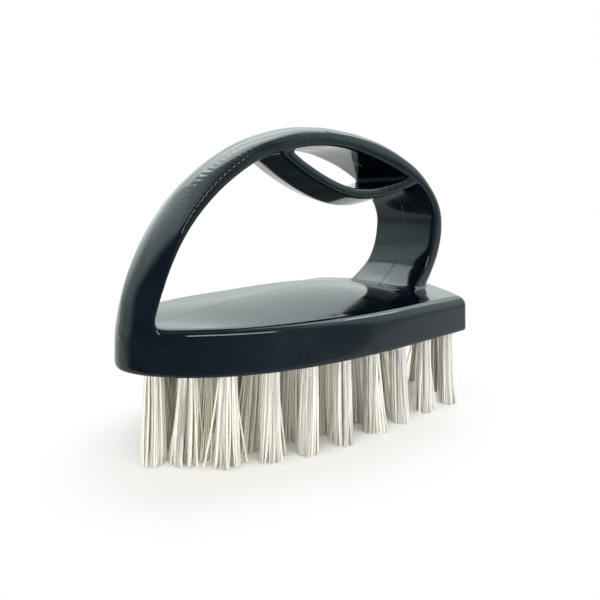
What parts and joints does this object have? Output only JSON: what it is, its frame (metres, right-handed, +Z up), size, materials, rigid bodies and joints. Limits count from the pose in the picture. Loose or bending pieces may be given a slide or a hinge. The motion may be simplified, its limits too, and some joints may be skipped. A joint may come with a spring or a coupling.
{
  "type": "scrub brush",
  "caption": "Hand scrub brush shaped like a flat iron: pointed block with a moulded loop handle over it and tufts of stiff bristles below.",
  "frame": {"origin": "on the floor under the middle of the block's length and width, at the bristles' trimmed ends", "axes": "+X from the pointed nose to the blunt heel, +Y across to the side away from the picture's camera, +Z up through the handle"},
  "size_m": [0.15, 0.0812, 0.1082],
  "materials": {
    "body_plastic": "glossy slate grey",
    "bristle": "satin white"
  },
  "bodies": {
    "root": {"handle_block": "body_plastic", "bristle_tuft_01": "bristle", "bristle_tuft_02": "bristle", "bristle_tuft_03": "bristle", "bristle_tuft_04": "bristle", "bristle_tuft_05": "bristle", "bristle_tuft_06": "bristle", "bristle_tuft_07": "bristle", "bristle_tuft_08": "bristle", "bristle_tuft_09": "bristle", "bristle_tuft_10": "bristle", "bristle_tuft_11": "bristle", "bristle_tuft_12": "bristle", "bristle_tuft_13": "bristle", "bristle_tuft_14": "bristle", "bristle_tuft_15": "bristle", "bristle_tuft_16": "bristle", "bristle_tuft_17": "bristle", "bristle_tuft_18": "bristle", "bristle_tuft_19": "bristle", "bristle_tuft_20": "bristle", "bristle_tuft_21": "bristle", "bristle_tuft_22": "bristle", "bristle_tuft_23": "bristle", "bristle_tuft_24": "bristle", "bristle_tuft_25": "bristle", "bristle_tuft_26": "bristle", "bristle_tuft_27": "bristle", "bristle_tuft_28": "bristle", "bristle_tuft_29": "bristle", "bristle_tuft_30": "bristle", "bristle_tuft_31": "bristle", "bristle_tuft_32": "bristle", "bristle_tuft_33": "bristle", "bristle_tuft_34": "bristle", "bristle_tuft_35": "bristle", "bristle_tuft_36": "bristle", "bristle_tuft_37": "bristle", "bristle_tuft_38": "bristle", "bristle_tuft_39": "bristle", "bristle_tuft_40": "bristle", "bristle_tuft_41": "bristle", "bristle_tuft_42": "bristle", "bristle_tuft_43": "bristle", "bristle_tuft_44": "bristle", "bristle_tuft_45": "bristle"}
  },
  "joints": []
}
